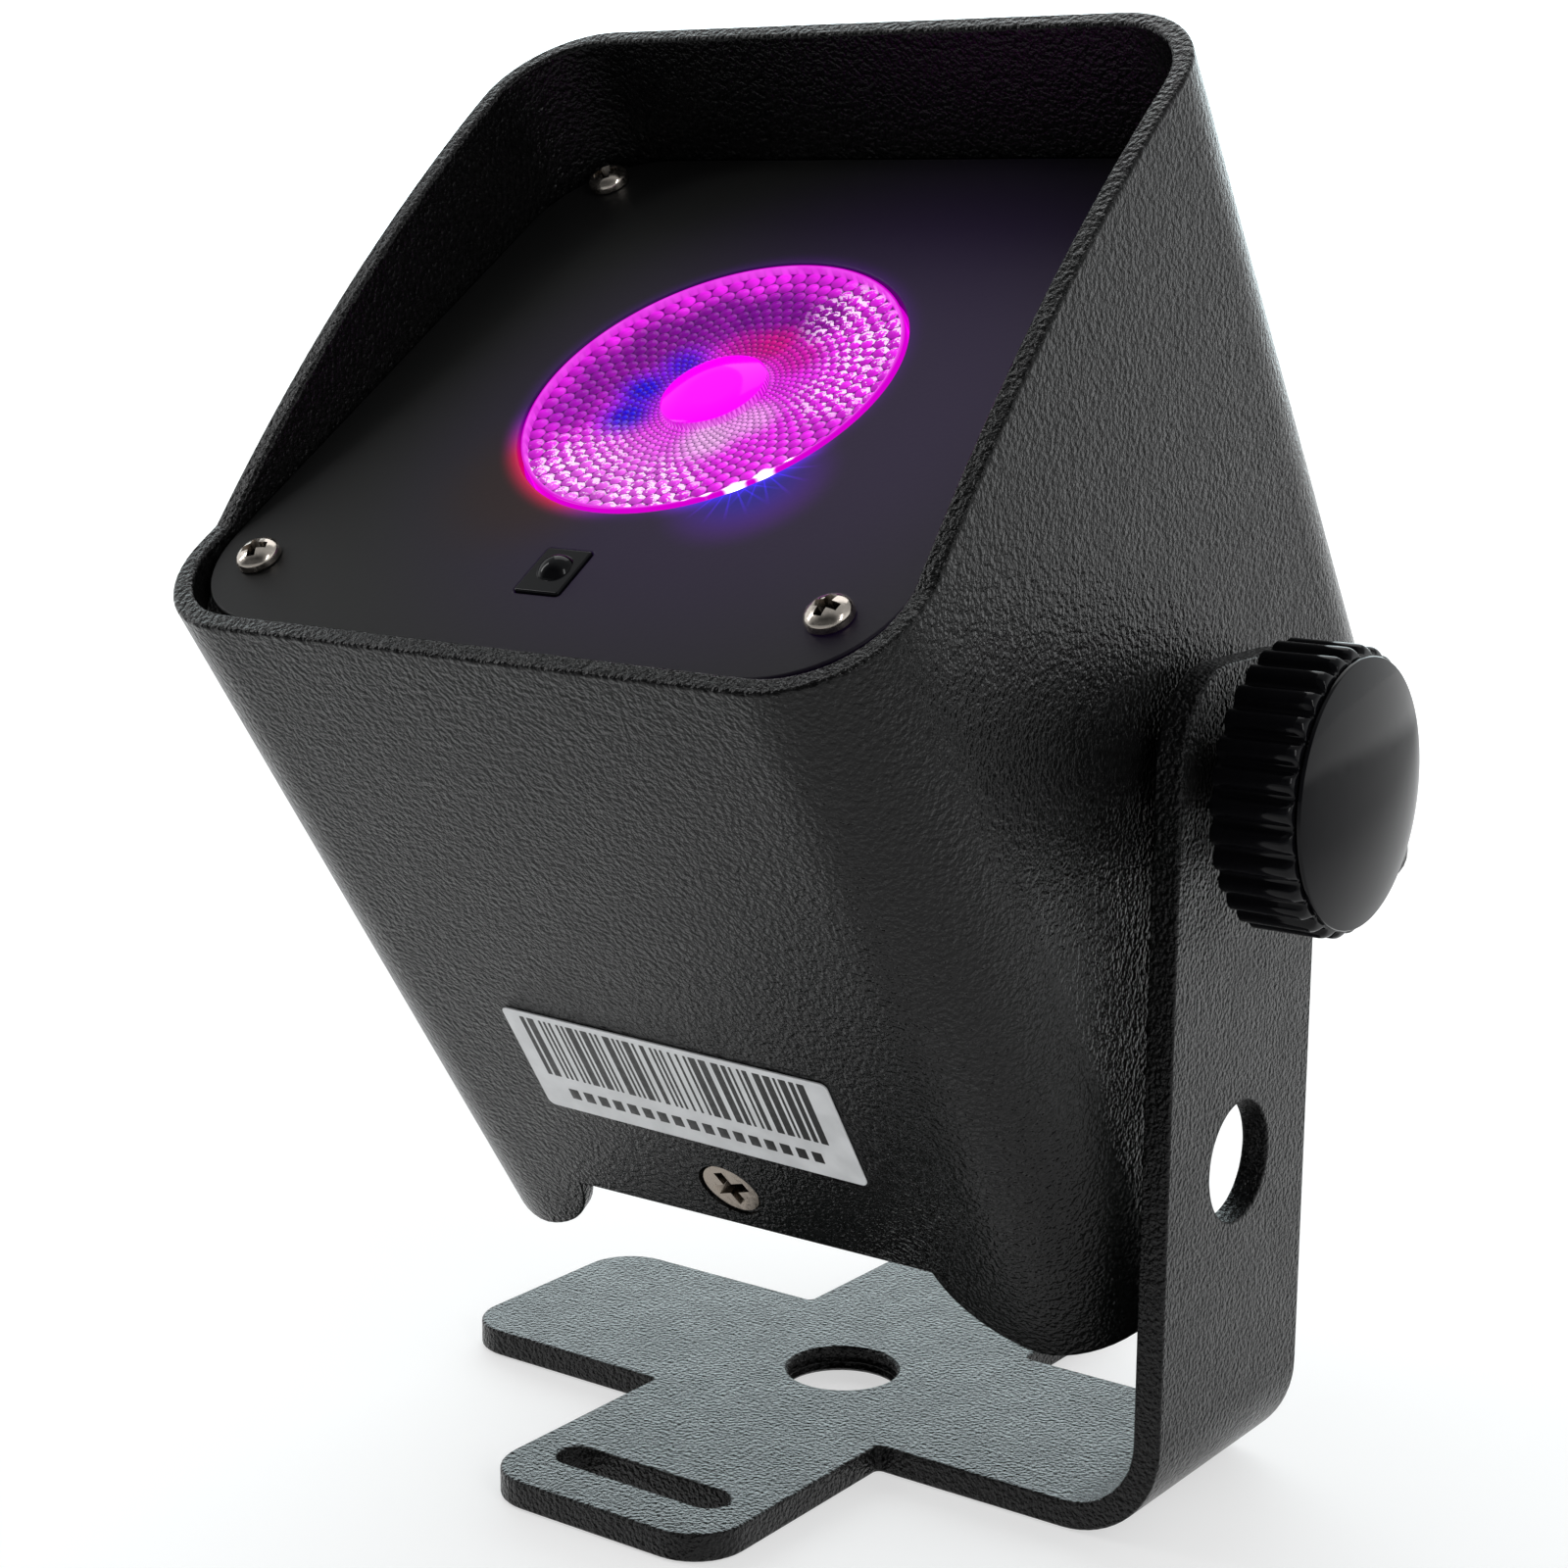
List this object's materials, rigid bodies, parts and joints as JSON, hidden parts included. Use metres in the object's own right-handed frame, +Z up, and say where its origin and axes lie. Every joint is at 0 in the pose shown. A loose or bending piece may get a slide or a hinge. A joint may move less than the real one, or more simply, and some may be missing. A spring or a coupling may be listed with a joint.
{
  "type": "par can light",
  "caption": "Compact battery LED uplight: square steel tube lamp with an curved hood and one round lens, clamped by a knob to a bent single-arm bracket with a cross-shaped foot.",
  "frame": {"origin": "on the floor, in the middle of the object's footprint at the rest pose", "axes": "+Z up, +X towards the knob and the upright, -Y the way the beam leans"},
  "size_m": [0.1058, 0.1212, 0.1509],
  "materials": {
    "painted_steel": "black powder coat with a fine orange-peel texture",
    "matt_black_steel": "smooth matt black paint",
    "dark_nickel": "shiny dark nickel plating",
    "zinc_steel": "bright zinc plated steel",
    "heat_sink_alloy": "extruded aluminium",
    "lit_lens": "clear acrylic lens lit magenta from behind",
    "emitter_phosphor": "LED package under a clear dome",
    "gloss_black": "glossy black moulded plastic",
    "black_plastic": "satin black moulded plastic",
    "circuit_board": "green solder mask",
    "led_board_white": "white solder mask on aluminium",
    "cell_wrap": "blue shrink wrap around a steel can",
    "wire": "red flexible insulation",
    "label_stock": "white printed label"
  },
  "bodies": {
    "bracket": {"yoke_bracket": "painted_steel", "knob_washer": "black_plastic"},
    "lamp": {"housing_shell": "painted_steel", "face_plate": "matt_black_steel", "face_screw_1": "dark_nickel", "face_screw_2": "dark_nickel", "face_screw_3": "dark_nickel", "face_screw_4": "dark_nickel", "lens": "lit_lens", "lens_holder": "black_plastic", "led_board": "led_board_white", "led_emitter": "emitter_phosphor", "heat_sink": "heat_sink_alloy", "heat_sink_stud_1": "zinc_steel", "stud_nut_1": "zinc_steel", "heat_sink_stud_2": "zinc_steel", "stud_nut_2": "zinc_steel", "heat_sink_stud_3": "zinc_steel", "stud_nut_3": "zinc_steel", "heat_sink_stud_4": "zinc_steel", "stud_nut_4": "zinc_steel", "ir_receiver": "gloss_black", "ir_board": "circuit_board", "bottom_panel": "painted_steel", "panel_screw_front": "dark_nickel", "panel_screw_back": "dark_nickel", "display_window": "gloss_black", "display_module": "black_plastic", "control_board": "circuit_board", "power_switch_frame": "black_plastic", "charge_socket": "black_plastic", "battery_tray": "black_plastic", "battery_cell_1": "cell_wrap", "battery_cell_2": "cell_wrap", "battery_cell_3": "cell_wrap", "tray_spacer_1": "zinc_steel", "tray_spacer_2": "zinc_steel", "tray_spacer_3": "zinc_steel", "tray_spacer_4": "zinc_steel", "driver_board": "circuit_board", "driver_spacer_1": "zinc_steel", "driver_spacer_2": "zinc_steel", "led_lead": "wire", "ir_lead": "wire", "battery_lead": "wire", "label": "label_stock", "pivot_plate": "zinc_steel", "pivot_nut": "zinc_steel", "friction_washer": "black_plastic"},
    "stud": {"knob_stud": "zinc_steel"},
    "knob": {"knob_body": "gloss_black", "knob_cap": "gloss_black"},
    "rocker": {"power_rocker": "gloss_black"},
    "menu_button_1": {"menu_button_1": "black_plastic"},
    "menu_button_2": {"menu_button_2": "black_plastic"},
    "menu_button_3": {"menu_button_3": "black_plastic"},
    "menu_button_4": {"menu_button_4": "black_plastic"}
  },
  "joints": [
    {"name": "tilt", "type": "hinge", "parent": "bracket", "child": "lamp", "pos_m": [-0.00865, 0.00259, 0.0766], "axis": [1, 0, 0], "range_deg": [-160, 160]},
    {"name": "knob_travel", "type": "slide", "parent": "lamp", "child": "stud", "axis": [1, 0, 0], "range_m": [0, 0.0013]},
    {"name": "knob_turn", "type": "hinge", "parent": "stud", "child": "knob", "pos_m": [0.04635, 0.00259, 0.0766], "axis": [1, 0, 0], "range_deg": [0, 360]},
    {"name": "power_rocker_tip", "type": "hinge", "parent": "lamp", "child": "rocker", "pos_m": [-0.02665, 0.00348, 0.04067], "axis": [1, 0, 0], "range_deg": [0, 14]},
    {"name": "menu_button_1_press", "type": "slide", "parent": "lamp", "child": "menu_button_1", "axis": [0, -0.5602, 0.8284], "range_m": [0, 0.0008], "stiffness_N_per_m": 800},
    {"name": "menu_button_2_press", "type": "slide", "parent": "lamp", "child": "menu_button_2", "axis": [0, -0.5602, 0.8284], "range_m": [0, 0.0008], "stiffness_N_per_m": 800},
    {"name": "menu_button_3_press", "type": "slide", "parent": "lamp", "child": "menu_button_3", "axis": [0, -0.5602, 0.8284], "range_m": [0, 0.0008], "stiffness_N_per_m": 800},
    {"name": "menu_button_4_press", "type": "slide", "parent": "lamp", "child": "menu_button_4", "axis": [0, -0.5602, 0.8284], "range_m": [0, 0.0008], "stiffness_N_per_m": 800}
  ],
  "couplings": [
    {"joint": "knob_travel", "follows": "knob_turn", "m_per_rad": 0.00019894}
  ]
}
